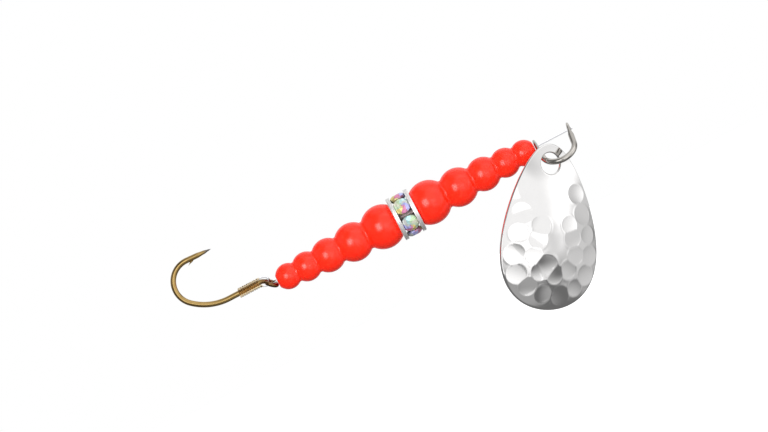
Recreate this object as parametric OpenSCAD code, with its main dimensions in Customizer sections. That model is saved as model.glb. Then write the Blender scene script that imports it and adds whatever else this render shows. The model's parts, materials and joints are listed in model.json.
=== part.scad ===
// Inline spinner: a hammered blade on a wire clevis, two moulded stacked-ball bodies with a
// rhinestone spacer ring between them, and a snelled hook, all threaded on one nylon line.
// Units are millimetres. The line lies along X, +X is the towing direction and +Z is the
// side that the hook's point is on. The origin is the line's front cut end.

/* [Line] */
// Diameter of the nylon line
line_d = 0.3; // [0.2:0.05:0.35]
// Number of turns of line wound round the hook's shank
snell_turns = 10; // [6:1:10]

/* [Bodies] */
// Diameter of the largest ball of each body
ball_d_max = 6.15; // [5:0.05:6.2]
// Diameter of the smallest ball of each body
ball_d_min = 3.6; // [3.2:0.05:4]
// Radius of the soft fillet in the groove between two balls
groove_r = 0.3; // [0.2:0.05:0.5]
// Diameter of the bore through each body
body_bore_d = 1.2; // [0.8:0.1:1.6]

/* [Spacer ring] */
// Outer diameter of the two metal plates
ring_d = 6.2; // [5.6:0.1:6.4]
// Thickness of one plate
ring_plate_t = 0.55; // [0.55:0.05:0.65]
// Number of stones round the ring
stones = 6; // [4:1:6]
// Diameter of a stone across its girdle
stone_d = 2.4; // [2.2:0.02:2.42]

/* [Clevis] */
// Diameter of the clevis wire
clevis_wire_d = 0.8; // [0.7:0.05:0.85]
// Radius of the clevis bow, measured to the wire's centre
clevis_bow_r = 2.3; // [2.2:0.05:2.4]
// Depth from the line to the bottom of the bow, measured to the wire's centre
clevis_depth = 5.08; // [4.9:0.02:5.2]
// Angle by which the clevis hangs out of the vertical plane
clevis_lean = 51.5; // [45:0.5:55]

/* [Blade] */
// Length of the blade
blade_l = 22.4; // [20:0.1:23]
// Width of the blade
blade_w = 14.8; // [13:0.1:15.2]
// Thickness of the sheet
blade_t = 0.5; // [0.4:0.05:0.6]
// Depth of the dish
blade_dish = 2; // [1.4:0.1:2.4]
// Diameter of the hole that the clevis passes through
blade_hole_d = 2.9; // [2.7:0.1:3]

/* [Hook] */
// Diameter of the hook wire
hook_wire_d = 0.77; // [0.65:0.01:0.85]
// Radius of the round part of the bend
hook_bend_r = 3.05; // [2.8:0.05:3.3]
// Length of the straight stretch from the bend to the tip of the point
hook_point_l = 3.7; // [3.2:0.1:4.2]

/* [Hidden] */
$fn = 64;
clear = 0.02;                       // gap where two parts meet or run against each other

// Places along the line
front_body_x = -5.78;               // small end of the front body
body_len = 17.92;
ring_t = 3.2;
ring_x = front_body_x - body_len - clear - ring_t / 2;
rear_body_x = ring_x - ring_t / 2 - clear - body_len;

// The five balls of a body: each is smaller than the one before it, from the ring outwards
balls = 5;
ball_taper = 1.18;                  // above 1, the big balls shrink faster than the small ones
ball_d = [for (i = [0:balls - 1])
    ball_d_min + (ball_d_max - ball_d_min) * pow(1 - i / (balls - 1), ball_taper)];
big_end = 1.93;                     // from the largest ball's centre to its flat end
small_end = 1.6;                    // from the smallest ball's centre to its flat end
// Spacing of the balls: it follows the sum of two neighbours' diameters, and slightly
// favours the big ones. The balls run into each other, so each shows as a thick bead.
ball_spread = 1.12;
function ball_run(i) = i == 0 ? 0 : ball_run(i - 1) + pow(ball_d[i - 1] + ball_d[i], ball_spread);
ball_at = [for (i = [0:balls - 1])
    big_end + (body_len - big_end - small_end) * ball_run(i) / ball_run(balls - 1)];

// Spacer ring: the stones' edges sit in a groove in each plate
eyelet_r = 0.95;
stone_girdle_at = 2.5;              // the stones' widest part, out from the line
stone_girdle_h = 0.2;
stone_crown_h = 0.42;
stone_point_h = 1.15;
stone_table_r = 0.62;
seat_depth = (stone_d + clear - ring_t) / 2 + ring_plate_t;
seat_inner_r = stone_girdle_at - 0.6;
seat_outer_r = stone_girdle_at + 0.3;

// Hook: the eye's centre, the shank's height and the gentle first bend
eye_x = -45.77;
eye_z = 0.21;
eye_r = 0.79;
eye_wire_r = 0.3;
eye_slope = 43.6;                   // how far the eye is bent off the shank
eye_twist = 12;                     // slight sideways cant of the eye
shank_z = 1.03;
shank_end_x = -51.75;
first_bend_r = 7.4;
first_bend_angle = 42;
round_bend_angle = 140;
hook_r = hook_wire_d / 2;
neck_r = 1;
first_c = [shank_end_x, shank_z + first_bend_r];
bend_a = 270 - first_bend_angle;     // direction from both bends' centres to where they meet
round_c = first_c + (first_bend_r - hook_bend_r) * [cos(bend_a), sin(bend_a)];
point_a = bend_a - round_bend_angle;
point_start = round_c + hook_bend_r * [cos(point_a), sin(point_a)];
point_at = [0.15, 0.4, 0.7, 0.9, 1];          // shares of the point's length, and the wire's
point_taper = [1, 0.95, 0.66, 0.3, 0.06];     // thickness there as a share of its full size
barb_h = 0.72;                      // the barb's reach from the wire's centre
barb_l = 0.75;
barb_t = 0.26;

// Snell: where the turns sit, and the two strands that run from them to the eye
snell_pitch = 0.33;
snell_front_x = -47.05;
under_strand = [[-45.86, 0.24], [-46.15, 0.22], [-46.45, 0.24], [-46.75, 0.33], [-47, 0.46],
    [-47.3, 0.49]];
over_strand = [[-45.82, 0.62], [-45.84, 0.9], [-45.95, 1.2], [-46.2, 1.42], [-46.6, 1.52],
    [-47.3, 1.56]];

// Leader: it climbs gently from the rear body's bore to the middle of the eye
leader_turn_x = -43.8;
leader_end = [-45.62, 0.3];

// Clevis: rear leg square to the line, front leg splayed a little
clevis_splay = 7;
clevis_mid_x = -3.12;
clevis_rear_x = clevis_mid_x - clevis_bow_r;
clevis_tip = 1.5;                   // how far the tapered ends pass the line
ear_hole_d = line_d + 0.16;
bow_c = [clevis_mid_x, -(clevis_depth - clevis_bow_r)];

// Blade: the middle of its hole, and how it hangs
blade_hole_p = [-5.01, -2.78, -2.86];
blade_roll = 28.3;
blade_yaw = 27;
blade_hole_drop = 2.66;             // from the blade's top edge to the middle of the hole
pear = 0.348;                       // how much the outline leans towards the tail
pear_round = 0.063;
dish_full = 0.55;                   // share of the length at which the dish is deepest

// Outline of the blade at share s of its length from the top, and its widest value
function outline(s) = let (c = 1 - 2 * s) sqrt(max(0, 1 - c * c)) * (1 - pear * c + pear_round * c * c);
outline_max = max([for (s = [0:0.01:1]) outline(s)]);

// ---- shared geometry ----

// Points of an arc about c in the XZ plane, from angle a to angle b
function arc(c, r, a, b, n) = [for (i = [0:n])
    c + r * [cos(a + (b - a) * i / n), sin(a + (b - a) * i / n)]];

// A list without its first entry
function tail(list) = [for (i = [1:len(list) - 1]) list[i]];

// Unit direction of a path at point i
function heading(p, i) =
    let (d = p[min(i + 1, len(p) - 1)] - p[max(i - 1, 0)]) d / norm(d);

// A closed tube along a path in the XZ plane. Each ring is an ellipse, with half-width
// sizes[i][0] in the plane and sizes[i][1] across it.
module wire(path, sizes, sides = 12) {
    n = len(path);
    points = [for (i = [0:n - 1]) let (h = heading(path, i)) for (k = [0:sides - 1])
        let (a = 360 * k / sides, u = sizes[i][0] * cos(a), v = sizes[i][1] * sin(a))
        [path[i][0] - h[1] * u, v, path[i][1] + h[0] * u]];
    walls = [for (i = [0:n - 2]) for (k = [0:sides - 1])
        let (a = i * sides + k, b = i * sides + (k + 1) % sides)
        each [[a, b, b + sides], [a, b + sides, a + sides]]];
    ends = [[for (k = [sides - 1:-1:0]) k], [for (k = [0:sides - 1]) (n - 1) * sides + k]];
    polyhedron(points, concat(walls, ends));
}

module along_x(x) {
    translate([x, 0, 0]) rotate([0, 90, 0]) children();
}

// ---- bodies ----

// Half of the body's section, along Y, with the big end's flat at 0
module ball_section() {
    for (i = [0:balls - 1]) translate([0, ball_at[i]]) circle(d = ball_d[i]);
    for (i = [0:balls - 2]) {
        a = ball_d[i] / 2 + groove_r;
        b = ball_d[i + 1] / 2 + groove_r;
        s = ball_at[i + 1] - ball_at[i];
        y = (s * s + a * a - b * b) / (2 * s);
        x = sqrt(a * a - y * y);
        difference() {
            polygon([[0, ball_at[i]], [x, ball_at[i] + y], [0, ball_at[i + 1]]]);
            translate([x, ball_at[i] + y]) circle(groove_r);
        }
    }
}

// One moulded body with its big end's flat at the origin, pointing along +Z
module stack_body() {
    rotate_extrude() intersection() {
        ball_section();
        translate([body_bore_d / 2, 0]) square([ball_d_max, body_len]);
    }
}

module front_body() {
    color("#ff3a22") along_x(front_body_x - body_len) stack_body();
}

module rear_body() {
    color("#ff3a22") along_x(rear_body_x + body_len) mirror([0, 0, 1]) stack_body();
}

// ---- spacer ring ----

// A plate with its outside face at the origin, pointing along +Z
module ring_plate() {
    difference() {
        cylinder(d = ring_d, h = ring_plate_t);
        translate([0, 0, -1]) cylinder(r = eyelet_r + clear / 2, h = ring_plate_t + 2);
        translate([0, 0, ring_plate_t - seat_depth]) difference() {
            cylinder(r = seat_outer_r, h = 1);
            translate([0, 0, -1]) cylinder(r = seat_inner_r, h = 3);
        }
    }
}

module ring_rear_plate() {
    color("#c9c9cc") along_x(ring_x - ring_t / 2) ring_plate();
}

module ring_front_plate() {
    color("#c9c9cc") along_x(ring_x + ring_t / 2) mirror([0, 0, 1]) ring_plate();
}

module ring_eyelet() {
    color("#b8b8bc") along_x(ring_x - ring_t / 2) difference() {
        cylinder(r = eyelet_r, h = ring_t);
        translate([0, 0, -1]) cylinder(d = body_bore_d, h = ring_t + 2);
    }
}

// A round cut stone that faces outwards. Stone 1 is 30 degrees above -Y.
module stone(i) {
    turn = 360 * (i - 0.5) / stones;
    color("#e6d8f0") translate([ring_x, 0, 0]) rotate([-turn, 0, 0]) rotate([90, 0, 0])
        translate([0, 0, stone_girdle_at]) {
            cylinder(d = stone_d, h = stone_girdle_h, center = true);
            translate([0, 0, stone_girdle_h / 2])
                cylinder(r1 = stone_d / 2, r2 = stone_table_r, h = stone_crown_h);
            translate([0, 0, -stone_girdle_h / 2 - stone_point_h])
                cylinder(r1 = 0.05, r2 = stone_d / 2, h = stone_point_h);
        }
}

// ---- line and hook ----

module leader() {
    rise = leader_end - [leader_turn_x, 0];
    color("#c8c8c8") {
        along_x(leader_turn_x) cylinder(d = line_d, h = -leader_turn_x);
        translate([leader_turn_x, 0, 0]) {
            sphere(d = line_d + 0.01);
            rotate([0, atan2(rise[0], rise[1]), 0]) cylinder(d = line_d, h = norm(rise));
        }
    }
}

module hook() {
    neck = arc([eye_x - eye_r * cos(eye_slope) - neck_r * sin(eye_slope), shank_z - neck_r],
        neck_r, 90 - eye_slope, 90, 4);
    bend = concat(
        arc(first_c, first_bend_r, 270, bend_a, 8),
        tail(arc(round_c, hook_bend_r, bend_a, point_a, 22)));
    point_dir = [sin(point_a), -cos(point_a)];
    point = [for (s = point_at) point_start + s * hook_point_l * point_dir];
    sizes = [for (f = concat([for (p = concat(neck, bend)) 1], point_taper)) hook_r * [f, f]];
    barb_x = point_start[0] + 0.1;
    color("#b08a45") {
        wire(concat(neck, bend, point), sizes);
        translate([eye_x, 0, eye_z]) rotate([0, eye_slope, 0]) rotate([eye_twist, 0, 0])
            rotate_extrude() translate([eye_r, 0]) circle(eye_wire_r);
        translate([barb_x, barb_t / 2, point_start[1]]) rotate([90, 0, 0]) linear_extrude(barb_t)
            polygon([[0, 0], [barb_l, 0], [barb_l - 0.2, -hook_r * 0.9], [-0.12, -barb_h],
                [0.02, -hook_r]]);
    }
}

module snell_wraps() {
    inner = hook_r + 0.01;
    color("#d8d2c4") {
        translate([0, 0, shank_z]) along_x(snell_front_x - snell_turns * snell_pitch) rotate_extrude() {
            for (i = [0:snell_turns - 1])
                translate([inner + line_d / 2, (i + 0.5) * snell_pitch]) circle(d = line_d);
            translate([inner, snell_pitch / 2]) square([line_d / 2, (snell_turns - 1) * snell_pitch]);
        }
        wire(under_strand, [for (p = under_strand) [line_d, line_d] / 2], 8);
        wire(over_strand, [for (p = over_strand) [line_d, line_d] / 2], 8);
    }
}

// ---- clevis and blade ----

module clevis() {
    r = clevis_wire_d / 2;
    bow = arc(bow_c, clevis_bow_r, clevis_splay - 14, -180, 20);
    front_dir = [sin(clevis_splay), cos(clevis_splay)];
    front_foot = bow_c + clevis_bow_r * [cos(clevis_splay), -sin(clevis_splay)];
    leg_l = -front_foot[1] / front_dir[1];
    rise = [clevis_tip, 1, 0.3, -0.5, -1.3];
    front_leg = [for (s = rise) front_foot + (leg_l + s) * front_dir];
    rear_leg = [for (k = [4:-1:0]) [clevis_rear_x, rise[k]]];
    ear = [[0.16, 0.2], [0.22, 0.42], [0.25, 0.52], [0.27, 0.48], [0.4, 0.4]];
    path = concat(front_leg, bow, rear_leg);
    sizes = concat(ear, [for (p = bow) [r, r]], [for (k = [4:-1:0]) ear[k]]);
    color("#b9b2a8") rotate([-clevis_lean, 0, 0]) difference() {
        wire(path, sizes, 14);
        along_x(clevis_rear_x - 1) cylinder(d = ear_hole_d, h = 7);
    }
}

// Rise of the dish at share s of the length and share x of the half-width
function dish(s, x) = blade_dish * (1 - x * x) * (s < dish_full
    ? sin(90 * pow(s / dish_full, 2))
    : pow(cos(90 * (s - dish_full) / (1 - dish_full)), 0.7));

// Two triangles that fill the quad a, b, c, d
function quad(a, b, c, d) = [[a, b, c], [a, c, d]];

module blade_sheet() {
    rows = 26;
    cols = 16;
    wide = cols + 1;
    side = (rows - 1) * wide;       // number of points on one face of the sheet
    last = rows - 2;
    points = [for (lift = [-0.5, 0.5]) for (i = [1:rows - 1]) for (j = [0:cols])
        let (s = (1 - cos(180 * i / rows)) / 2, x = 2 * j / cols - 1)
        [blade_w / 2 * outline(s) / outline_max * x, -dish(s, x) - lift * blade_t,
            blade_hole_drop - blade_l * s]];
    sheet = [for (i = [0:last - 1]) for (j = [0:cols - 1]) let (a = i * wide + j)
        each concat(quad(a, a + wide, a + wide + 1, a + 1),
            quad(side + a, side + a + 1, side + a + wide + 1, side + a + wide))];
    flanks = [for (i = [0:last - 1]) let (a = i * wide, b = a + cols)
        each concat(quad(a, side + a, side + a + wide, a + wide),
            quad(b, b + wide, side + b + wide, side + b))];
    ends = [for (j = [0:cols - 1]) let (b = last * wide + j)
        each concat(quad(j, j + 1, side + j + 1, side + j), quad(b, side + b, side + b + 1, b + 1))];
    polyhedron(points, concat(sheet, flanks, ends));
}

module blade() {
    lift = dish(blade_hole_drop / blade_l, 0);
    color("#d6d6da") translate(blade_hole_p) rotate([0, blade_roll, 0]) rotate([0, 0, blade_yaw])
        translate([0, lift, 0]) difference() {
            blade_sheet();
            rotate([90, 0, 0]) cylinder(d = blade_hole_d, h = 10, center = true);
        }
}

hook();
snell_wraps();
leader();
rear_body();
ring_rear_plate();
ring_front_plate();
ring_eyelet();
for (i = [1:stones]) stone(i);
front_body();
clevis();
blade();
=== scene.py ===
"""Looks of the inline spinner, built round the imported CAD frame.

Sizes are in millimetres in the part's own frame, and piece() turns them into metres. The
line lies along X, +X is the towing direction, and the camera looks along +Y.
"""

import json
import math
import random

import bmesh
import bpy
from mathutils import Matrix, Vector


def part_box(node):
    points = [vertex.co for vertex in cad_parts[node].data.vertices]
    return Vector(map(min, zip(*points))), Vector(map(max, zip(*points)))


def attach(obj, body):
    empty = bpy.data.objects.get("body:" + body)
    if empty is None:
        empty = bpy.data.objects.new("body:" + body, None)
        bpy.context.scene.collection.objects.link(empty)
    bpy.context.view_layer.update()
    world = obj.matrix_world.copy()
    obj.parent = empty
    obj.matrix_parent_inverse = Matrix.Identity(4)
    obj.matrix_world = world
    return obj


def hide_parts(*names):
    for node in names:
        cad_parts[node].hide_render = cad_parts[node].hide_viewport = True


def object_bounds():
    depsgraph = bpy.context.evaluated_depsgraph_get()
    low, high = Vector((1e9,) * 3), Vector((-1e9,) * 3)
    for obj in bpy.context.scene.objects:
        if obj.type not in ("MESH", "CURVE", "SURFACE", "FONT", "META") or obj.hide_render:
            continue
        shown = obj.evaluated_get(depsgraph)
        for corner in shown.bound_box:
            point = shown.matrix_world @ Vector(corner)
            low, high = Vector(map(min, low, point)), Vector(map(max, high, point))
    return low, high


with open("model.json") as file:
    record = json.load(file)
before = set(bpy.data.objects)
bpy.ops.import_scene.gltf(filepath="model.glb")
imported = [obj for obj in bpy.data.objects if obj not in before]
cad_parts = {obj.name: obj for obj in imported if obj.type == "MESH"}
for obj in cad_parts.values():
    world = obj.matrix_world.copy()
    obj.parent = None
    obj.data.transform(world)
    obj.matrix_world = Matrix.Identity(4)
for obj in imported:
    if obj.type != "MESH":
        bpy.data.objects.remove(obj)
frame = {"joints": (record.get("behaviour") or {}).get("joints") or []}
cad_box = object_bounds()

MM = 0.001
ROLL = math.radians(27.6)            # the line climbs to the right by this much in the picture
RIGHT = Vector((math.cos(ROLL), 0, -math.sin(ROLL)))
UP = Vector((math.sin(ROLL), 0, math.cos(ROLL)))
NEAR = Vector((0, -1, 0))            # from the lure towards the camera
VIEW_MIDDLE = Vector((-28.05, 0, 1.21))
VIEW_W = 103.8                       # what the picture's width spans at the line
LENS = 180
SENSOR = 36
FLOOR_DROP = 12                      # from the object's lowest point to the floor
fully_lit = bpy.data.collections.new("fully_lit")        # pieces that the lamps light in full


def box_mm(node):
    """Lowest and highest corner of a CAD node, in millimetres."""
    low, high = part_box(node)
    return low / MM, high / MM


def joint(name):
    return next(j for j in frame["joints"] if j["name"] == name)


# ---- camera, lights and floor ----

def make_camera():
    """A long lens on the middle of the picture, rolled so that the line climbs to the right."""
    data = bpy.data.cameras.new("camera")
    data.lens, data.sensor_width = LENS, SENSOR
    camera = bpy.data.objects.new("camera", data)
    bpy.context.scene.collection.objects.link(camera)
    turn = Matrix((RIGHT, UP, NEAR)).transposed().to_4x4()
    place = VIEW_MIDDLE + NEAR * VIEW_W * LENS / SENSOR
    camera.matrix_world = Matrix.Translation(place * MM) @ turn
    data.clip_start, data.clip_end = 0.01, 10
    bpy.context.scene.camera = camera


def softbox(name, right, up, near, width, height, power, on_all):
    """A rectangular lamp at (right, up, near) metres from the lure's middle, facing it. The
    share on_all of its light falls on everything, and the rest spares the hook, the clevis and
    the blade, which mirror it and would glare."""
    for end, share in (("", on_all), ("_rest", 1 - on_all)):
        data = bpy.data.lights.new(name + end, "AREA")
        data.shape, data.size, data.size_y = "RECTANGLE", width, height
        data.energy = power * share
        lamp = bpy.data.objects.new(name + end, data)
        bpy.context.scene.collection.objects.link(lamp)
        middle = (cad_box[0] + cad_box[1]) / 2
        lamp.location = middle + RIGHT * right + UP * up + NEAR * near
        lamp.rotation_euler = (middle - lamp.location).to_track_quat("-Z", "Y").to_euler()
        lamp.visible_camera = False
        if end:
            lamp.light_linking.receiver_collection = fully_lit


def make_world(base, lobes):
    """A white studio. What surfaces reflect is base grey with a soft patch for each lobe
    (right, up, near, full angle, faded angle, brightness). A patch below 0 darkens."""
    world = bpy.data.worlds.new("studio")
    world.use_nodes = True
    bpy.context.scene.world = world
    tree = world.node_tree
    tree.nodes.clear()

    def node(kind, **settings):
        made = tree.nodes.new("ShaderNode" + kind)
        for key, value in settings.items():
            setattr(made, key, value)
        return made

    toward = node("TexCoord").outputs["Generated"]
    total = None
    for right, up, near, full, faded, bright in lobes:
        dot = node("VectorMath", operation="DOT_PRODUCT")
        tree.links.new(toward, dot.inputs[0])
        dot.inputs[1].default_value = (RIGHT * right + UP * up + NEAR * near).normalized()
        patch = node("MapRange", interpolation_type="SMOOTHSTEP")
        tree.links.new(dot.outputs["Value"], patch.inputs["Value"])
        patch.inputs["From Min"].default_value = math.cos(math.radians(faded))
        patch.inputs["From Max"].default_value = math.cos(math.radians(full))
        patch.inputs["To Max"].default_value = bright
        add = node("Math", operation="ADD")
        tree.links.new(patch.outputs["Result"], add.inputs[0])
        if total is None:
            add.inputs[1].default_value = base
        else:
            tree.links.new(total, add.inputs[1])
        total = add.outputs[0]
    seen = node("LightPath").outputs["Is Camera Ray"]
    light = node("Background")
    tree.links.new(total, light.inputs["Strength"])
    backdrop = node("Background")
    mix = node("MixShader")
    tree.links.new(seen, mix.inputs[0])
    tree.links.new(light.outputs[0], mix.inputs[1])
    tree.links.new(backdrop.outputs[0], mix.inputs[2])
    tree.links.new(mix.outputs[0], node("OutputWorld").inputs["Surface"])
    for background in (light, backdrop):
        background.inputs["Color"].default_value = (1, 1, 1, 1)


# ---- materials ----

NOISE_LOW, NOISE_HIGH = 0.3, 0.7         # nearly all of a noise lies between these


class Paint:
    """A Principled material, with short calls for the nodes that feed it."""

    def __init__(self, name, **sockets):
        self.material = bpy.data.materials.new(name)
        self.material.use_nodes = True
        self.tree = self.material.node_tree
        self.shader = self.tree.nodes["Principled BSDF"]
        self.set(**sockets)

    def set(self, **sockets):
        for name, value in sockets.items():
            self.feed(self.shader.inputs[name.replace("_", " ")], value)

    def feed(self, socket, value):
        if isinstance(value, bpy.types.NodeSocket):
            self.tree.links.new(value, socket)
        else:
            socket.default_value = value

    def node(self, kind, settings=(), **inputs):
        made = self.tree.nodes.new("ShaderNode" + kind)
        for key, value in dict(settings).items():
            setattr(made, key, value)
        for name, value in inputs.items():
            self.feed(made.inputs[name.replace("_", " ")], value)
        return made

    def noise(self, size, detail=3, stretch=(1, 1, 1)):
        """Noise whose blotches are about size millimetres, longer along a small stretch."""
        place = self.node("TexCoord").outputs["Object"]
        spread = self.node("Mapping", Vector=place, Scale=[s / (size * MM) for s in stretch])
        made = self.node("TexNoise", Vector=spread.outputs[0], Scale=1, Detail=detail)
        return made.outputs["Fac"]

    def attribute(self, name, output="Fac"):
        return self.node("Attribute", {"attribute_name": name}).outputs[output]

    def span(self, noise, low, high):
        """A noise, mapped from its usual range to low...high."""
        return self.node("MapRange", {"interpolation_type": "SMOOTHSTEP"}, Value=noise,
                         From_Min=NOISE_LOW, From_Max=NOISE_HIGH,
                         To_Min=low, To_Max=high).outputs[0]

    def mix(self, share, a, b):
        """Colour a where share is 0 and b where it is 1. Sockets 6 and 7 are the colours."""
        made = self.node("Mix", {"data_type": "RGBA"})
        self.feed(made.inputs[0], share)
        self.feed(made.inputs[6], a)
        self.feed(made.inputs[7], b)
        return made.outputs[2]

    def bump(self, height, depth):
        """Relief of depth millimetres from a 0...1 height."""
        self.set(Normal=self.node("Bump", Height=height, Strength=1.0,
                                  Distance=depth * MM).outputs[0])


def red_plastic():
    # The emission paints a faint red glow into the plastic, standing in for its fluorescence.
    paint = Paint("red_plastic", Subsurface_Weight=0.25, Subsurface_Radius=(1, 0.12, 0.06),
                  Subsurface_Scale=0.8 * MM, IOR=1.45, Emission_Color=(1, 0.03, 0.005, 1),
                  Emission_Strength=0.12)
    paint.set(Base_Color=paint.mix(paint.noise(1.6), (1, 0.02, 0.006, 1), (1, 0.03, 0.01, 1)),
              Roughness=paint.span(paint.noise(1.5), 0.18, 0.23))
    paint.bump(paint.noise(1.2, 1), 0.0015)
    return paint.material


def bronzed_steel():
    """Bronze lacquer over drawn wire: it is darker and browner round the eye, and is worn off to
    bare steel where the point is ground."""
    paint = Paint("bronzed_steel", Metallic=1.0)
    lacquer = paint.mix(paint.noise(0.8, 3), (0.4, 0.26, 0.09, 1), (0.55, 0.38, 0.15, 1))
    lacquer = paint.mix(paint.attribute("thick"), lacquer, (0.2, 0.1, 0.045, 1))
    paint.set(Base_Color=paint.mix(paint.attribute("ground"), lacquer, (0.14, 0.13, 0.13, 1)),
              Roughness=paint.span(paint.noise(0.3), 0.1, 0.18))
    paint.bump(paint.noise(0.3, 3), 0.0005)
    return paint.material


def nylon_line():
    """Clear line. The turns wound tight on the shank get a painted bronze colour, standing in for
    the shank seen through them.
    """
    paint = Paint("nylon_line", IOR=1.3, Transmission_Weight=1.0)
    clear = paint.mix(paint.noise(0.4), (0.78, 0.78, 0.81, 1), (0.88, 0.88, 0.9, 1))
    paint.set(Base_Color=paint.mix(paint.attribute("wound"), clear, (0.62, 0.51, 0.34, 1)),
              Roughness=paint.span(paint.noise(0.3), 0.02, 0.06))
    paint.bump(paint.noise(0.2), 0.0005)
    return paint.material


def ring_metal():
    paint = Paint("ring_metal", Metallic=0.7)
    tones = (0.82, 0.8, 0.79, 1), (0.94, 0.93, 0.92, 1)
    paint.set(Base_Color=paint.mix(paint.noise(0.7, 4), *tones),
              Roughness=paint.span(paint.noise(0.2, 4), 0.28, 0.4))
    paint.bump(paint.noise(0.15, 4), 0.002)
    return paint.material


def cut_glass():
    """Foil-backed glass under a thin iridescent coat: each facet has a colour of its own, the
    coat's hue darkened by painted shade.
    """
    paint = Paint("cut_glass", Metallic=0.45, IOR=1.6, Coat_Weight=0.4, Coat_Roughness=0.03)
    paint.set(Base_Color=paint.mix(paint.span(paint.noise(0.5), 0, 0.2),
                                   paint.attribute("coat_tint_and_shade", "Color"), (0.95, 0.95, 0.95, 1)),
              Roughness=paint.span(paint.noise(0.2), 0.04, 0.1))
    return paint.material


def nickel(name, tone, rough, mark, depth):
    """Plated metal with fine polishing marks along X, mark millimetres wide and depth deep."""
    paint = Paint(name, Metallic=1.0)
    dull = [0.94 * c for c in tone[:3]] + [1]
    marks = paint.noise(mark, 5, (0.15, 1, 1))
    paint.set(Base_Color=paint.mix(paint.noise(1.4, 4), dull, tone),
              Roughness=paint.span(marks, rough, rough * 1.9))
    paint.bump(marks, depth)
    return paint.material


def floor_white():
    paint = Paint("floor_white", Roughness=0.9, Emission_Color=(1, 1, 1, 1), Emission_Strength=0.8)
    paint.set(Base_Color=paint.mix(paint.noise(30), (0.86, 0.86, 0.86, 1), (0.9, 0.9, 0.9, 1)))
    return paint.material


# ---- mesh tools ----

def mesh_of(name, points, faces):
    """A mesh in metres from points in millimetres, with its faces turned outwards."""
    mesh = bpy.data.meshes.new(name)
    mesh.from_pydata([Vector(p) * MM for p in points], [], faces)
    work = bmesh.new()
    work.from_mesh(mesh)
    bmesh.ops.recalc_face_normals(work, faces=work.faces)
    work.to_mesh(mesh)
    work.free()
    return mesh


def piece(name, mesh, body, slot, material, nodes, sharp=40):
    """A finished piece: shaded smooth up to the sharp angle, on its body, in place of nodes."""
    made = bpy.data.objects.new(name, mesh)
    bpy.context.scene.collection.objects.link(made)
    mesh.polygons.foreach_set("use_smooth", [True] * len(mesh.polygons))
    mesh.set_sharp_from_angle(angle=math.radians(sharp))
    mesh.materials.clear()
    mesh.materials.append(material)
    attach(made, body)
    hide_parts(*nodes)
    if body not in ("clevis", "blade") and slot != "bronzed_steel":
        fully_lit.objects.link(made)


def combined(base, other, how):
    """The two meshes joined ("UNION") or cut ("DIFFERENCE") into one closed mesh."""
    objects = [bpy.data.objects.new("work", mesh) for mesh in (base, other)]
    for made in objects:
        bpy.context.scene.collection.objects.link(made)
    cut = objects[0].modifiers.new("cut", "BOOLEAN")
    cut.operation, cut.object, cut.solver = how, objects[1], "EXACT"
    graph = bpy.context.evaluated_depsgraph_get()
    result = bpy.data.meshes.new_from_object(objects[0].evaluated_get(graph))
    for made in objects:
        bpy.data.objects.remove(made)
    return result


def grid_faces(rows, cols, wrap_rows):
    """Quads of a grid whose columns close on themselves, and its rows too if wrap_rows."""
    faces = []
    for i in range(rows if wrap_rows else rows - 1):
        for k in range(cols):
            a, b = i * cols, (i + 1) % rows * cols
            faces.append((a + k, a + (k + 1) % cols, b + (k + 1) % cols, b + k))
    return faces


def lathe(name, profile, angles):
    """A closed (x, r) profile turned round the line. angles are in degrees."""
    points = [(x, r * math.cos(math.radians(a)), r * math.sin(math.radians(a)))
              for x, r in profile for a in angles]
    return mesh_of(name, points, grid_faces(len(profile), len(angles), True))


def even_angles(count):
    return [360 * k / count for k in range(count)]


def rounded(corners, steps=5):
    """A closed outline whose corners (x, r, radius) are rounded off."""
    outline = []
    for i, (x, r, radius) in enumerate(corners):
        here = Vector((x, r))
        before, after = Vector(corners[i - 1][:2]), Vector(corners[(i + 1) % len(corners)][:2])
        a = here + (before - here).normalized() * radius
        b = here + (after - here).normalized() * radius
        for t in [k / steps for k in range(steps + 1)] if radius else [0]:
            outline.append(a * (1 - t) ** 2 + here * 2 * t * (1 - t) + b * t * t)
    return outline


def smooth_path(points, steps):
    """A Catmull-Rom curve through the points."""
    ends = [points[0] * 2 - points[1]] + list(points) + [points[-1] * 2 - points[-2]]
    path = []
    for a, b, c, d in zip(ends, ends[1:], ends[2:], ends[3:]):
        for k in range(steps):
            t = k / steps
            path.append((b * 2 + (c - a) * t + (a * 2 - b * 5 + c * 4 - d) * t * t
                         + (b * 3 - a - c * 3 + d) * t ** 3) / 2)
    return path + [points[-1]]


def wire(name, path, sizes, sides, across):
    """A closed tube along a 3-D path. sizes gives each ring's half-width along the direction
    across at the start, which is carried along without twist, and square to it."""
    points, side = [], Vector(across)
    last = len(path) - 1
    for i, here in enumerate(path):
        along = (path[min(i + 1, last)] - path[max(i - 1, 0)]).normalized()
        side = (side - along * side.dot(along)).normalized()
        other = along.cross(side)
        a, b = sizes[i]
        for k in range(sides):
            turn = 2 * math.pi * k / sides
            points.append(here + side * a * math.cos(turn) + other * b * math.sin(turn))
    faces = grid_faces(len(path), sides, False)
    faces += [tuple(range(sides)), tuple(range(last * sides, (last + 1) * sides))]
    return mesh_of(name, points, faces)


def blended(stops, at):
    """A value read between (place, value) stops, eased from each one to the next."""
    for (p, a), (q, b) in zip(stops, stops[1:]):
        if at <= q:
            t = max(0.0, (at - p) / (q - p))
            t = t * t * (3 - 2 * t)
            return a + (b - a) * t
    return stops[-1][1]


def lengths_along(path):
    run = [0.0]
    for a, b in zip(path, path[1:]):
        run.append(run[-1] + (b - a).length)
    return run


# ---- stacked-ball bodies ----

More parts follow.
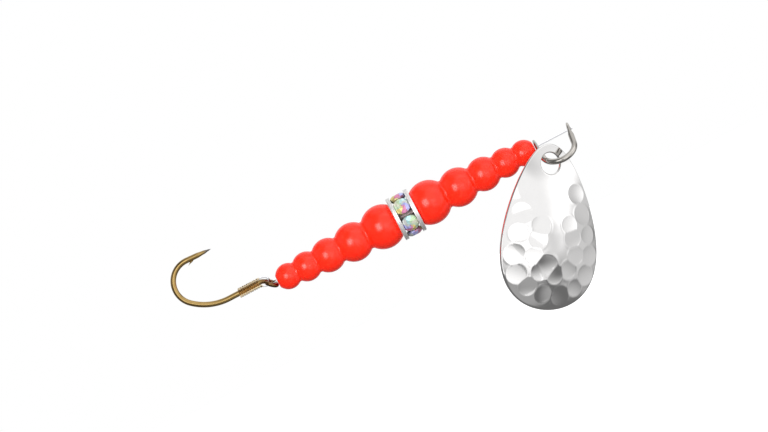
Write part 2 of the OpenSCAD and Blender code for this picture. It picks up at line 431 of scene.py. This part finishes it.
BALLS = 5
BALL_SMALL = 3.6                     # diameter of the smallest ball
BALL_TAPER = 1.18
BALL_SPREAD = 1.12
BIG_END = 1.93                       # from the largest ball's centre to its flat end
SMALL_END = 1.6
GROOVE_R = 0.3
BORE_R = 0.6
SEAM_H = 0.012                       # the faint raised line where the mould's halves met
SEAM_FROM = 0.2                      # it starts this far outside the bore
BODY_SIDES = 96


def ball_profile(length, widest):
    """(t, r) round one body's section: t runs from the big flat end to the small one."""
    d = [BALL_SMALL + (widest - BALL_SMALL) * (1 - i / (BALLS - 1)) ** BALL_TAPER
         for i in range(BALLS)]
    run = [0.0]
    for a, b in zip(d, d[1:]):
        run.append(run[-1] + (a + b) ** BALL_SPREAD)
    at = [BIG_END + (length - BIG_END - SMALL_END) * r / run[-1] for r in run]
    outside = []

    def sweep(centre, radius, start, end, step=4):
        count = max(2, round(abs(end - start) / step))
        for k in range(count + 1):
            a = math.radians(start + (end - start) * k / count)
            outside.append((centre[0] + radius * math.cos(a), centre[1] + radius * math.sin(a)))

    edge, fine_edge, corner, nib = 0.12, 0.03, 0.1, 0.02         # roundings at the two ends
    start = math.degrees(math.acos(-(BIG_END - corner) / (d[0] / 2)))
    for i in range(BALLS - 1):
        a, b, gap = d[i] / 2 + GROOVE_R, d[i + 1] / 2 + GROOVE_R, at[i + 1] - at[i]
        y = (gap * gap + a * a - b * b) / (2 * gap)
        x = math.sqrt(a * a - y * y)
        meets, leaves = math.degrees(math.atan2(x, y)), math.degrees(math.atan2(x, gap - y))
        sweep((at[i], 0), d[i] / 2, start, meets)
        sweep((at[i] + y, x), GROOVE_R, 180 + meets, 360 - leaves, 12)
        start = 180 - leaves
    finish = math.degrees(math.acos((SMALL_END - corner) / (d[-1] / 2)))
    sweep((at[-1], 0), d[-1] / 2, start, finish)
    big_r, small_r = outside[0][1] - corner, outside[-1][1] - corner
    big_end = [(edge, BORE_R), (fine_edge, BORE_R + fine_edge), (0, BORE_R + edge),
               (0, big_r - edge), (nib, big_r)]
    small_end = [(length - nib, small_r), (length, small_r - edge), (length, BORE_R + edge),
                 (length - fine_edge, BORE_R + fine_edge), (length - edge, BORE_R)]
    return big_end + outside + small_end


def ball_body(name, node, body, big_end_first, seam):
    """seam is the angle of the mould line round the body, in degrees."""
    low, high = box_mm(node)
    profile = ball_profile(high.x - low.x, high.z - low.z - 2 * SEAM_H)
    seams = [seam, seam + 180]
    angles = sorted(set(even_angles(BODY_SIDES)) | {s + step for s in seams for step in (-1, 0, 1)})
    points = []
    for t, r in profile:
        x = low.x + t if big_end_first else high.x - t
        for a in angles:
            lift = SEAM_H if a in seams and r > BORE_R + SEAM_FROM else 0
            turn = math.radians(a)
            points.append((x, (r + lift) * math.cos(turn), (r + lift) * math.sin(turn)))
    mesh = mesh_of(name, points, grid_faces(len(profile), len(angles), True))
    piece(name, mesh, body, "red_plastic", materials["red_plastic"], [node])


# ---- spacer ring ----

PLATE_SIDES = 120
TUBE_SIDES = 64
PLATE_HOLE_R = 0.96
PLATE_T = 0.55                       # the thickness that the rim's groove is drawn for
SEAT_LIP = 0.26                      # from the rim in to the stones' seat
SEAT_R = 1.92                        # where the seat ends, towards the line
STONE_GAP = 0.02                     # between a stone's edge and its seat


def ring_plate(name, node, outside_first):
    """A stamped plate: rounded rim with a fine groove round it, and a seat for the stones."""
    low, high = box_mm(node)
    stone_low, stone_high = box_mm("stone_1")
    gap = box_mm("ring_front_plate")[0].x - box_mm("ring_rear_plate")[1].x
    r, t = high.z, high.x - low.x
    seat = (stone_high.x - stone_low.x - gap) / 2 + STONE_GAP
    corners = [(0, PLATE_HOLE_R, 0.04), (0, r - 0.02, 0.1), (0.28 * t / PLATE_T, r, 0.02),
               (0.34 * t / PLATE_T, r - 0.06, 0.03), (0.4 * t / PLATE_T, r, 0.02), (t, r, 0.05),
               (t, r - SEAT_LIP, 0.03), (t - seat, r - SEAT_LIP - 0.04, 0),
               (t - seat, SEAT_R, 0), (t, SEAT_R - 0.02, 0), (t, PLATE_HOLE_R, 0.04)]
    profile = [(low.x + x if outside_first else high.x - x, y) for x, y in rounded(corners, 4)]
    piece(name, lathe(name, profile, even_angles(PLATE_SIDES)), "ring", "ring_metal",
          materials["ring_metal"], [node])


def ring_tube():
    """The eyelet that holds the plates together, with its ends rolled over."""
    low, high = box_mm("ring_eyelet")
    outer, inner = high.z, BORE_R
    corners = [(low.x, inner + 0.02, 0.1), (low.x, outer, 0.06), (high.x, outer, 0.06),
               (high.x, inner + 0.02, 0.1), (high.x - 0.4, inner, 0), (low.x + 0.4, inner, 0)]
    # Its dark grey is painted shade for the gaps between the stones, where it shows.
    piece("ring_tube", lathe("ring_tube", rounded(corners), even_angles(TUBE_SIDES)), "ring",
          "ring_metal", materials["eyelet_painted_shade"], ["ring_eyelet"])


STONES_R = 2.5                       # from the line to each stone's widest part
SECTORS = 8
GIRDLE_H = 0.2
CROWN_H = 0.42
POINT_H = 1.15
TABLE_R = 0.62
TABLE_RING = 0.45                    # the ring of points that splits the table, of its radius
STAR_TIP_OUT = 0.06                  # the star facets' tips, outside the middle of the crown
STAR_TIP_H = 0.6                     # and their height, of the crown's
WAIST_R = 0.5                        # the lower girdle facets' tips, of the stone's radius
WAIST_H = 0.52                       # and their depth, of the point's
# The tints of the coat, in the order that they follow each other round a stone, and where they
# start and which way they run on each stone
TINTS = [(0.72, 0.75, 0.72), (0.55, 0.92, 0.93), (0.6, 0.84, 0.5), (0.88, 0.9, 0.7),
         (0.66, 0.84, 0.58), (0.93, 0.74, 0.2), (0.8, 0.22, 0.46), (0.46, 0.46, 0.95)]
TINT_RUNS = [(0, 1), (0, 1), (2, 1), (4, 1), (5, 1), (3, -1)]


def cut_stone(i, turn, shift, way):
    """A round brilliant on the ring, turn degrees up from the camera's side. Each sector has its
    own hue of the coat, and each kind of facet its own strength of it, which is painted shade:
    darkest on the girdle and the facets below it."""
    low, high = box_mm(f"stone_{i}")
    centre = (low + high) / 2
    out = Vector((0, -math.cos(math.radians(turn)), math.sin(math.radians(turn))))
    ahead = Vector((1, 0, 0))
    beside = out.cross(ahead)
    girdle_at = Vector((centre.x, 0, 0)) + out * STONES_R
    radius = (high.x - low.x) / 2

    def rim(count, r, h, offset=0.0):
        turns = [2 * math.pi * (k + offset) / count for k in range(count)]
        return [girdle_at + out * h + ahead * r * math.cos(a) + beside * r * math.sin(a)
                for a in turns]

    table = rim(SECTORS, TABLE_R, GIRDLE_H / 2 + CROWN_H)
    middle = rim(SECTORS, (TABLE_R + radius) / 2 + STAR_TIP_OUT,
                 GIRDLE_H / 2 + CROWN_H * STAR_TIP_H, 0.5)
    top = rim(2 * SECTORS, radius, GIRDLE_H / 2)
    bottom = rim(2 * SECTORS, radius, -GIRDLE_H / 2)
    waist = rim(SECTORS, radius * WAIST_R, -GIRDLE_H / 2 - POINT_H * WAIST_H, 0.5)
    inside = rim(SECTORS, TABLE_R * TABLE_RING, GIRDLE_H / 2 + CROWN_H, 0.5)
    point = [girdle_at - out * (GIRDLE_H / 2 + POINT_H)]
    eye = [girdle_at + out * (GIRDLE_H / 2 + CROWN_H)]
    rings = [table, middle, top, bottom, waist, inside, point, eye]
    t0, m0, g0, b0, w0, i0, p0, e0 = [sum(map(len, rings[:k])) for k in range(len(rings))]
    faces, tints = [], []

    # light is painted shade: below 1 it darkens a facet's hue, most on the girdle and below it.
    def facet(places, sector, light=1.0):
        faces.append(places)
        tints.append([light * c for c in TINTS[(way * sector + shift) % len(TINTS)]] + [1])

    for k in range(SECTORS):
        n, before = (k + 1) % SECTORS, (k - 1) % SECTORS
        e, f, after = 2 * k, 2 * k + 1, (2 * k + 2) % (2 * SECTORS)
        facet((t0 + k, t0 + n, i0 + k), k, 0.95)                        # table, seen through
        facet((t0 + n, i0 + n, i0 + k), k)
        facet((i0 + k, i0 + n, e0), k + 1, 0.85)
        facet((t0 + k, t0 + n, m0 + k), k, 0.85)                        # star
        facet((t0 + k, m0 + k, g0 + e, m0 + before), k)                 # bezel
        facet((m0 + k, g0 + f, g0 + e), k, 0.75)                        # upper girdle
        facet((m0 + k, g0 + after, g0 + f), k + 1, 0.9)
        facet((b0 + e, b0 + f, w0 + k), k, 0.6)                         # lower girdle
        facet((b0 + f, b0 + after, w0 + k), k, 0.45)
        facet((b0 + e, w0 + k, p0, w0 + before), k, 0.5)                # pavilion
    for k in range(2 * SECTORS):
        n = (k + 1) % (2 * SECTORS)
        facet((g0 + k, g0 + n, b0 + n, b0 + k), k // 2, 0.5)            # girdle
    mesh = mesh_of(f"cut_stone_{i}", [p for ring in rings for p in ring], faces)
    colours = mesh.attributes.new("coat_tint_and_shade", "FLOAT_COLOR", "FACE")
    for face, coat_tint_and_shade in zip(colours.data, tints):
        face.color = coat_tint_and_shade
    piece(f"cut_stone_{i}", mesh, "ring", "cut_glass", materials["cut_glass"],
          [f"stone_{i}"], sharp=3)


# ---- hook, snell and leader ----

SHANK_Z = 1.03
SHANK_END_X = -51.75
FIRST_R = 7.4
BEND_A = 228                         # where the gentle first bend runs into the round one
BEND_R = 3.05
POINT_A = 88
POINT_L = 3.7
NECK_R = 1.0
NECK_TRIM = 12                       # degrees of the neck's arc that run into the eye's loop
EYE_R = 0.79
EYE_WIRE_R = 0.3
EYE_SLOPE = 43.6
EYE_TWIST = 12
EYE_TURN = (-168, 151, 6)            # from the wire's end round to the neck
HOOK_R = 0.385
BARB_AT = 0.85                       # from the start of the straight point
BARB_PATH = [(0.15, -0.16), (-0.15, -0.32), (-0.5, -0.5), (-0.86, -0.7)]
BARB_THICK, BARB_TALL = 0.13, 0.17


def arc(centre, r, a, b, count):
    """Points in the XZ plane from angle a to angle b."""
    turns = [math.radians(a + (b - a) * k / count) for k in range(count + 1)]
    return [Vector((centre[0] + r * math.cos(t), 0, centre[1] + r * math.sin(t))) for t in turns]


def hook():
    """One wire: the eye's loop, the neck, the shank, both bends, the ground point, a barb."""
    eye = Vector(joint("hook_swing")["pos_m"]) / MM
    tilt = (Matrix.Translation(eye) @ Matrix.Rotation(math.radians(EYE_SLOPE), 4, "Y")
            @ Matrix.Rotation(math.radians(EYE_TWIST), 4, "X"))
    slope = math.radians(EYE_SLOPE)
    neck_c = (eye.x - EYE_R * math.cos(slope) - NECK_R * math.sin(slope), SHANK_Z - NECK_R)
    first_c = (SHANK_END_X, SHANK_Z + FIRST_R)
    meet = math.radians(BEND_A)
    round_c = (first_c[0] + (FIRST_R - BEND_R) * math.cos(meet),
               first_c[1] + (FIRST_R - BEND_R) * math.sin(meet))
    eye_turns = [math.radians(a) for a in range(*EYE_TURN)]
    loop = [tilt @ Vector((EYE_R * math.cos(a), EYE_R * math.sin(a), 0)) for a in eye_turns]
    neck = arc(neck_c, NECK_R, 90 - EYE_SLOPE + NECK_TRIM, 90, 5)
    lead = 6                             # steps from the loop's last point to the neck's first
    lead_in = smooth_path([loop[-2], loop[-1], neck[0], neck[1]], lead)[lead:2 * lead + 1]
    shank = [Vector((neck[-1].x + (SHANK_END_X - neck[-1].x) * k / 8, 0, SHANK_Z))
             for k in range(1, 8)]
    bends = arc(first_c, FIRST_R, 270, BEND_A, 24) + arc(round_c, BEND_R, BEND_A, POINT_A, 48)[1:]
    heading = Vector((math.sin(math.radians(POINT_A)), 0, -math.cos(math.radians(POINT_A))))
    point = [bends[-1] + heading * POINT_L * k / 20 for k in range(1, 21)]
    path = loop[:-1] + lead_in + neck[1:] + shank + bends + point
    run = lengths_along(path)
    total, loop_l, neck_l = run[-1], run[len(loop)], run[len(loop) + 2 * lead]
    # (distance along the wire, thickness as a share of the eye's)
    thickness = [(0, 0.45), (0.5, 1), (loop_l, 1), (neck_l, HOOK_R / EYE_WIRE_R),
                 (total - POINT_L, HOOK_R / EYE_WIRE_R), (total - POINT_L * 0.6, 1.22),
                 (total - POINT_L * 0.3, 0.85), (total - POINT_L * 0.1, 0.38), (total, 0.03)]
    sizes = [[EYE_WIRE_R * blended(thickness, at)] * 2 for at in run]
    mesh = wire("barbed_hook", path, sizes, 20, (0, 1, 0))
    root = bends[-1] + heading * BARB_AT
    barb_path = smooth_path([root + Vector((x, 0, z)) for x, z in BARB_PATH], 5)
    shares = [k / (len(barb_path) - 1) for k in range(len(barb_path))]
    barb_sizes = [(BARB_THICK * blended([(0, 0.8), (0.3, 1), (1, 0.1)], share),
                   BARB_TALL * blended([(0, 0.8), (0.3, 1), (1, 0.12)], share))
                  for share in shares]
    mesh = combined(mesh, wire("barb", barb_path, barb_sizes, 10, (0, 1, 0)), "UNION")
    # Shares for the bronze: darker brown round the eye's middle, and bare steel at the ground
    # point.
    for name, centre, stops in (("ground", point[-1], [(0, 1), (0.7, 0.9), (1.3, 0)]),
                                ("thick", eye, [(0, 1), (1.1, 0.9), (1.9, 0)])):
        shares = mesh.attributes.new(name, "FLOAT", "POINT")
        for vertex, share in zip(mesh.vertices, shares.data):
            share.value = blended(stops, (vertex.co / MM - centre).length)
    piece("barbed_hook", mesh, "hook", "bronzed_steel", materials["bronzed_steel"],
          ["hook"], sharp=50)


LINE_R = 0.15
SNELL_TURNS = 10
SNELL_PITCH = 0.33
SNELL_GAP = 0.01                     # between the shank and the turns
SNELL_FRONT_X = -47.05
UNDER_STRAND = [(-45.86, 0.24), (-46.15, 0.22), (-46.45, 0.24), (-46.75, 0.33), (-47, 0.46)]
OVER_STRAND = [(-45.82, 0.62), (-45.84, 0.9), (-45.95, 1.2), (-46.2, 1.42), (-46.6, 1.52),
               (-47.3, 1.54)]
LEADER_BEND_X = -43.8                # where the line starts to climb to the eye


def snell():
    """The line runs in under the shank, is wound rearwards round it, and comes back over the
    neck into the eye."""
    r = HOOK_R + SNELL_GAP + LINE_R
    steps = 28                           # to a turn; sway keeps the turns from being quite even
    coil = []
    for k in range(SNELL_TURNS * steps + 1):
        turn = k / steps
        a = 2 * math.pi * turn
        sway = 0.012 * math.sin(2.7 * turn) + 0.006 * math.sin(7.1 * turn)
        x = SNELL_FRONT_X - SNELL_PITCH * (0.5 + turn * (SNELL_TURNS - 1) / SNELL_TURNS) + sway
        coil.append(Vector((x, r * math.sin(a), SHANK_Z - r * math.cos(a))))
    strand = smooth_path([Vector((x, 0, z)) for x, z in UNDER_STRAND], 5)
    path = strand + coil
    mesh = wire("snell_line", path, [(LINE_R, LINE_R)] * len(path), 12, (0, 1, 0))
    over = smooth_path([Vector((x, 0, z)) for x, z in OVER_STRAND], 6)
    over = wire("over", over, [(LINE_R, LINE_R)] * len(over), 12, (0, 1, 0))
    mesh = combined(mesh, over, "UNION")
    # Painted bronze colour for the shank seen through the turns; it fades out just in front of
    # them.
    shares = mesh.attributes.new("wound", "FLOAT", "POINT")
    for vertex, share in zip(mesh.vertices, shares.data):
        share.value = blended([(0, 1), (0.25, 0)], vertex.co.x / MM - SNELL_FRONT_X)
    piece("snell_line", mesh, "hook", "nylon_line", materials["nylon_line"], ["snell_wraps"])


def leader():
    """The straight line through everything, which climbs gently to the middle of the eye."""
    low, high = box_mm("leader")
    bend = Vector((LEADER_BEND_X, 0, 0))
    end = Vector((low.x + 0.05, 0, high.z - LINE_R))
    front = [Vector((high.x * (1 - t) + bend.x * t, 0, 0))
             for t in (0, 0.001, 0.05, 0.1, 0.15, 0.5, 0.9)]
    path = front + smooth_path([bend, (bend + end) / 2, end], 5)
    sizes = [[LINE_R * 0.8] * 2] + [[LINE_R * 0.99] * 2] * (len(path) - 1)
    mesh = wire("leader_line", path, sizes, 20, (0, 1, 0))
    piece("leader_line", mesh, "line", "nylon_line", materials["nylon_line"], ["leader"])


# ---- clevis and blade ----

CLEVIS_LEAN = 51.5
BOW_R = 2.3
BOW_X = -3.12
BOW_DEPTH = 5.08
SPLAY = 7
EAR_RISE = 1.5
EAR_HOLE_R = 0.23


def clevis():
    """A bent wire with a flattened, drilled ear at each end."""
    lean = Matrix.Rotation(math.radians(-CLEVIS_LEAN), 4, "X")
    bow = arc((BOW_X, BOW_R - BOW_DEPTH), BOW_R, -SPLAY, -180, 40)
    splay = math.radians(SPLAY)
    front_dir = Vector((math.sin(splay), 0, math.cos(splay)))
    leg_l = -bow[0].z / front_dir.z
    steps = 36
    front = [bow[0] + front_dir * (leg_l + EAR_RISE) * (1 - k / steps) for k in range(steps)]
    rear = [Vector((bow[-1].x, 0, bow[-1].z + (EAR_RISE - bow[-1].z) * k / steps))
            for k in range(1, steps + 1)]
    path = [lean @ p for p in front + bow + rear]
    run = lengths_along(path)
    # (distance from the wire's nearer end, half-size) along the line, and then across it
    along = [(0, 0.04), (0.08, 0.12), (0.2, 0.16), (0.5, 0.21), (1.2, 0.25), (2, 0.27), (2.8, 0.4)]
    across = [(0, 0.04), (0.08, 0.14), (0.2, 0.22), (0.5, 0.38), (1.2, 0.52), (2, 0.48), (2.8, 0.4)]
    sizes = [(blended(along, min(at, run[-1] - at)), blended(across, min(at, run[-1] - at)))
             for at in run]
    mesh = wire("clevis_wire", path, sizes, 28, (1, 0, 0))
    drill = wire("drill", [Vector((-8, 0, 0)), Vector((0, 0, 0))], [(EAR_HOLE_R, EAR_HOLE_R)] * 2,
                 32, (0, 1, 0))
    piece("clevis_wire", combined(mesh, drill, "DIFFERENCE"), "clevis", "nickel_wire",
          materials["nickel_wire"], ["clevis"], sharp=35)


BLADE_L = 22.4
BLADE_W = 14.8
BLADE_T = 0.5
BLADE_DISH = 2
HOLE_R = 1.45
HOLE_DROP = 2.66
BLADE_ROLL = 28.3
BLADE_YAW = 27
PEAR = 0.348
PEAR_ROUND = 0.063
DISH_FULL = 0.55
EDGE = 0.16                          # how far in the sheet's edges are rounded
# Each row of hammer marks: how many, the first one's turn and the step, in degrees, and then how
# far in from the rim they are, their radius and their depth
MARK_ROWS = [(13, 57, 19, 1.9, 1.25, 0.1), (9, 75, 26, 4.7, 1.25, 0.09)]
LONE_MARK = (Vector((-1.3, -13.9)), 1.6, 0.16)
LIP_SHARE, LIP_AT, LIP_W = 0.2, 1.1, 0.12   # height, place and width of a mark's raised lip


def outline(turn):
    """Half-width of the pear before scaling. turn goes from 0 at the top to pi at the tail."""
    c = math.cos(turn)
    return math.sin(turn) * (1 - PEAR * c + PEAR_ROUND * c * c)


WIDEST = max(outline(math.pi * k / 200) for k in range(201))


def rim_point(turn, inset=0.0):
    """A point of the blade's edge, or inset millimetres inside it. Points are (x, z)."""
    z = HOLE_DROP - BLADE_L * (1 - math.cos(turn)) / 2
    here = Vector((BLADE_W / 2 / WIDEST * outline(turn), z))
    middle = Vector((0, HOLE_DROP - BLADE_L * 0.55))
    return here + (middle - here).normalized() * inset


def dish(x, z):
    """How far the sheet stands out from its own edge."""
    share = min(1, max(0, (HOLE_DROP - z) / BLADE_L))
    half = BLADE_W / 2 / WIDEST * outline(math.acos(1 - 2 * share))
    across = min(1, abs(x) / half) if half > 1e-6 else 1
    if share < DISH_FULL:
        rise = math.sin(math.pi / 2 * (share / DISH_FULL) ** 2)
    else:
        rise = max(0, math.cos(math.pi / 2 * (share - DISH_FULL) / (1 - DISH_FULL))) ** 0.7
    return BLADE_DISH * (1 - across * across) * rise


def hammer_marks():
    """(place, radius, depth) of each round dent: one row follows the rim, one runs inside it,
    and one dent stands alone in the middle."""
    random.seed(21)
    marks = []

    def strike(turn, inset, radius, depth):
        turn += random.uniform(-0.03, 0.03)
        place = rim_point(math.radians(turn), inset + random.uniform(-0.15, 0.15))
        marks.append((place, radius * random.uniform(0.92, 1.08), depth * random.uniform(0.8, 1.2)))

    for count, first, step, inset, radius, depth in MARK_ROWS:
        for k in range(count):
            strike(first + step * k, inset, radius, depth)
    return marks + [LONE_MARK]


def dent(marks, x, z):
    """Depth of the hammer marks at a point, with a soft lip round each."""
    deepest, lip = 0.0, 0.0
    for place, radius, depth in marks:
        share = math.hypot(x - place.x, z - place.y) / radius
        if share < 1:
            deepest = max(deepest, depth * (1 - share * share))
        lip = max(lip, LIP_SHARE * depth * math.exp(-((share - LIP_AT) / LIP_W) ** 2))
    return deepest - (lip if deepest == 0 else 0)


def blade():
    """A hammered sheet: one closed skin from the hole out to the rim and back."""
    marks = hammer_marks()
    rays, across, turns = 400, 100, 5        # counts: round the hole, out to the rim, per edge
    lift = dish(0, 0)
    place = (Matrix.Translation(Vector(joint("blade_swing")["pos_m"]) / MM)
             @ Matrix.Rotation(math.radians(BLADE_ROLL), 4, "Y")
             @ Matrix.Rotation(math.radians(BLADE_YAW), 4, "Z"))
    bevel = [math.pi / 2 * k / turns for k in range(turns)]
    rows = []
    for i in range(rays):
        rim = rim_point(2 * math.pi * (i + 0.5) / rays)
        hole = rim.normalized() * HOLE_R
        width = (rim - hole).length
        inner = [(EDGE * (1 - math.cos(a)), math.sin(a)) for a in bevel]
        spread = [(EDGE + (width - 2 * EDGE) * k / across, 1) for k in range(across + 1)]
        outer = [(width - d, side) for d, side in reversed(inner)]
        front = inner + spread + outer
        loop = [(d, -side) for d, side in front] + [(d, side) for d, side in reversed(front[1:-1])]
        depth = {}
        row = []
        for d, side in loop:
            p = hole + (rim - hole) * (d / width)
            if d not in depth:
                depth[d] = lift - dish(p.x, p.y) + dent(marks, p.x, p.y)
            row.append(place @ Vector((p.x, depth[d] + side * BLADE_T / 2, p.y)))
        rows.append(row)
    points = [p for row in rows for p in row]
    mesh = mesh_of("hammered_blade", points, grid_faces(rays, len(rows[0]), True))
    piece("hammered_blade", mesh, "blade", "nickel_blade", materials["nickel_blade"],
          ["blade"], sharp=60)


# ---- the scene ----

bpy.context.scene.view_settings.view_transform = "Standard"
make_camera()
make_world(0.16, [
    (0.42, 0.5, 0.76, 34, 58, 0.85),     # big white card above the camera, to the right
    (0.98, 0.1, 0.1, 10, 40, 0.5),       # grey card on the right
    (0.8, 0.1, 0.59, 3, 16, -0.35),      # the camera's own dark shape, which the blade mirrors
    (0.35, -0.6, 0.7, 8, 30, 0.22),      # the table's glow
    (0, 1, -0.1, 15, 50, 0.6),           # ceiling
    (-1, 0.1, 0.1, 5, 35, 0.25),         # left wall
    (0, 0.3, -1, 25, 60, 0.6),           # the backdrop
])
softbox("key", -0.13, -0.02, 0.37, 0.18, 0.28, 1.8, 0.12)
softbox("fill", 0.16, -0.02, 0.37, 0.18, 0.29, 0.8, 0.06)

materials = {
    "red_plastic": red_plastic(),
    "bronzed_steel": bronzed_steel(),
    "nylon_line": nylon_line(),
    "ring_metal": ring_metal(),
    # The eyelet's dark, slightly red grey is painted shade, for the gaps between the stones.
    "eyelet_painted_shade": nickel("eyelet_painted_shade", (0.42, 0.34, 0.34, 1), 0.3, 0.2, 0.001),
    "cut_glass": cut_glass(),
    "nickel_wire": nickel("nickel_wire", (0.62, 0.59, 0.55, 1), 0.1, 0.1, 0.002),
    "nickel_blade": nickel("nickel_blade", (0.91, 0.9, 0.895, 1), 0.05, 0.2, 0.0004),
}

floor_mesh = bpy.data.meshes.new("floor")
floor_z = cad_box[0].z - FLOOR_DROP * MM
floor_mesh.from_pydata([(x, y, floor_z) for x, y in ((-1, -1), (1, -1), (1, 1), (-1, 1))], [],
                       [(0, 1, 2, 3)])
floor_mesh.materials.append(floor_white())
floor = bpy.data.objects.new("floor", floor_mesh)
bpy.context.scene.collection.objects.link(floor)
floor.visible_glossy = floor.visible_diffuse = False

ball_body("front_ball_stack", "front_body", "front_body", True, 62)
ball_body("rear_ball_stack", "rear_body", "rear_body", False, 118)
ring_plate("rear_plate", "ring_rear_plate", True)
ring_plate("front_plate", "ring_front_plate", False)
ring_tube()
for stone, (shift, way) in enumerate(TINT_RUNS, 1):
    cut_stone(stone, 60 * (stone - 0.5), shift, way)
hook()
snell()
leader()
clevis()
blade()
